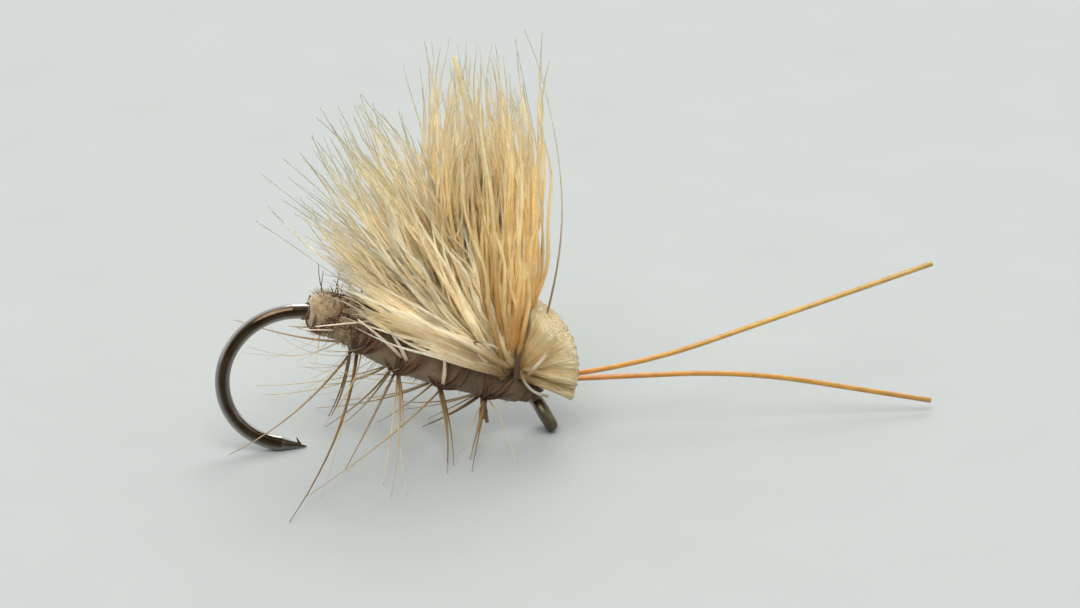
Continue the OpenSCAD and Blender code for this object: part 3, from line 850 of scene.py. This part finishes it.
def make_head():
    butt_paint = strand_paint("hair_butt", [(0.0, (156, 130, 90)), (0.55, (184, 165, 127)),
                                            (0.93, (178, 171, 142)), (1.0, (162, 157, 137))],
                              (248, 232, 204), 0.65, subsurface=0.75, gloss=0.25)
    hair_butts("butts_upper", butt_paint, "head_butts_upper", 1500, TIE + np.array([0.08, 0, 0.1]),
               half_width=1.0, rise_range=(-18, 84), side_max=30, reach=2.96, thick=0.078)
    hair_butts("butts_lower", butt_paint, "head_butts_lower", 300, TIE + np.array([0.05, 0, -0.42]),
               half_width=0.85, rise_range=(-24, 4), side_max=18, reach=2.88, thick=0.075)

    def at_neck(z):
        return TIE + np.array([z - 0.22, 0, 0.1])

    def behind_eye(z):
        return shank_point(HEAD_S - 0.5 + z)

    thread = thread_paint()
    thread_coil("neck_thread", thread, "thread_collar", at_neck, 1.46, 1.46,
                turns=3, pitch=0.07, up_way=np.array([0, 0, 1.0]), lean=0.08, egg=0.26)
    thread_coil("whip_finish", thread, "thread_head", behind_eye, 0.56, 0.46, turns=6, pitch=0.09)
    cement_drop()


def cement_drop():
    """A small drop of cement, drawn out over the top of the whip finish."""
    rows, columns = 14, 24
    half_length, half_height, half_width = 0.46, 0.24, 0.34
    centre = shank_point(HEAD_S + 0.15) + 0.42 * UP
    points, faces = [], []
    for i in range(rows):
        a = pi * (i + 0.5) / rows
        for j in range(columns):
            b = 2 * pi * j / columns
            lumpy = 1 + 0.06 * sin(3 * b + 2 * a)
            points.append(centre + lumpy * (half_length * cos(a) * ALONG
                                            + half_height * sin(a) * cos(b) * UP
                                            + half_width * sin(a) * sin(b) * SIDE))
    for i in range(rows - 1):
        row, next_row = i * columns, (i + 1) * columns
        for j in range(columns):
            k = (j + 1) % columns
            faces.append((row + j, next_row + j, next_row + k, row + k))
    faces.append(tuple(range(columns)))
    faces.append(tuple(range(rows * columns - 1, (rows - 1) * columns - 1, -1)))
    drop = make_object("cement_drop", points, faces, cement_paint())
    stands_for(drop, "head_cement", "head_cement")


# ---------------------------------------------------------------- antennae


def make_antenna(name, node, side, yaw, slopes, lead, tail, shade, material):
    """A stiff rod of monofilament: a straight lead, one bend from slope to slope, a tail."""
    bend = ROD_BEND_R * abs(radians(slopes[1] - slopes[0]))
    d = np.linspace(0, lead + bend + tail, 80)
    slope = np.radians(between(slopes, np.clip((d - lead) / bend, 0, 1)))
    step = d[1] - d[0]
    run = np.concatenate([[0], np.cumsum(np.cos(slope[:-1]) * step)])
    rise = np.concatenate([[0], np.cumsum(np.sin(slope[:-1]) * step)])
    root = shank_point(HEAD_S) + np.array([0.05, side, 0.72])
    path = root + np.stack([run * cos(radians(yaw)), run * sin(radians(yaw)), rise], 1)
    rod = Strands(14)
    rod.add(path, ROD_R, shade, up=[0, 0, 1], cut_end=True)
    return stands_for(rod.finish(name, material), "antenna_monofilament", node)


def make_antennae():
    paint = antenna_paint()
    make_antenna("antenna_rod_left", "antenna_left", side=0.15, yaw=6, slopes=(-2.5, 13.4),
                 lead=0, tail=12.3, shade=0.0, material=paint)
    make_antenna("antenna_rod_right", "antenna_right", side=-0.15, yaw=-3.5, slopes=(-0.3, -12.5),
                 lead=7, tail=6.35, shade=1.0, material=paint)


# ---------------------------------------------------------------- studio

FLOOR_HALF = 2.0
CAMERA_DISTANCE = 0.42
CAMERA_LENS = 280


def make_floor():
    mesh = bpy.data.meshes.new("floor")
    corners = [(x * FLOOR_HALF, y * FLOOR_HALF, 0) for x, y in ((-1, -1), (1, -1), (1, 1), (-1, 1))]
    mesh.from_pydata(corners, [], [(0, 1, 2, 3)])
    mesh.materials.append(floor_paint())
    floor = bpy.data.objects.new("floor", mesh)
    bpy.context.scene.collection.objects.link(floor)


def make_world():
    """A bright white room that is darker on one side, in front of the fly and above."""
    world = bpy.data.worlds.new("studio")
    world.use_nodes = True
    tree = world.node_tree
    back = tree.nodes["Background"]
    place = tree.nodes.new("ShaderNodeTexCoord")
    toward = tree.nodes.new("ShaderNodeVectorMath")
    toward.operation = "DOT_PRODUCT"
    toward.inputs[1].default_value = Vector((-0.15, -0.92, 0.35)).normalized()
    ramp = tree.nodes.new("ShaderNodeValToRGB")
    tree.links.new(place.outputs["Generated"], toward.inputs[0])
    tree.links.new(toward.outputs["Value"], ramp.inputs["Fac"])
    for element, (position, grey) in zip(ramp.color_ramp.elements, [(0.3, 1.0), (0.75, 0.3)]):
        element.position = position
        element.color = (grey, grey, grey, 1)
    tree.links.new(ramp.outputs["Color"], back.inputs["Color"])
    back.inputs["Strength"].default_value = 1.22
    bpy.context.scene.world = world


def make_lamps():
    """Two round softboxes that face the fly: a strong one in front, a weak one behind."""
    for spot, size, energy in [((-0.5, -1.3, 2.25), 2.0, 68), ((0.8, 1.5, 1.9), 1.6, 22)]:
        lamp = bpy.data.lights.new("softbox", "AREA")
        lamp.shape = "DISK"
        lamp.size = size
        lamp.energy = energy
        softbox = bpy.data.objects.new("softbox", lamp)
        softbox.location = spot
        softbox.rotation_euler = (-softbox.location).to_track_quat("-Z", "Y").to_euler()
        bpy.context.scene.collection.objects.link(softbox)


def make_camera():
    """The camera looks along +Y and down, from a little towards the fly's rear."""
    azimuth, elevation = radians(-11), radians(22)
    target = Vector((hook_low[0] + 16.49, 0, 6.84)) * MM
    back = Vector((sin(azimuth) * cos(elevation), -cos(azimuth) * cos(elevation), sin(elevation)))
    data = bpy.data.cameras.new("camera")
    data.lens = CAMERA_LENS
    data.clip_start = 0.05
    camera = bpy.data.objects.new("camera", data)
    camera.location = target + CAMERA_DISTANCE * back
    camera.rotation_euler = (-back).to_track_quat("-Z", "Y").to_euler()
    bpy.context.scene.collection.objects.link(camera)
    bpy.context.scene.camera = camera


def paint_hook():
    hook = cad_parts["hook"]
    hook.data.materials.clear()
    hook.data.materials.append(hook_paint())


bpy.context.scene.view_settings.view_transform = "Standard"
make_camera()
paint_hook()
make_body()
make_stem()
make_hackle()
make_wing()
make_head()
make_antennae()
make_floor()
make_world()
make_lamps()
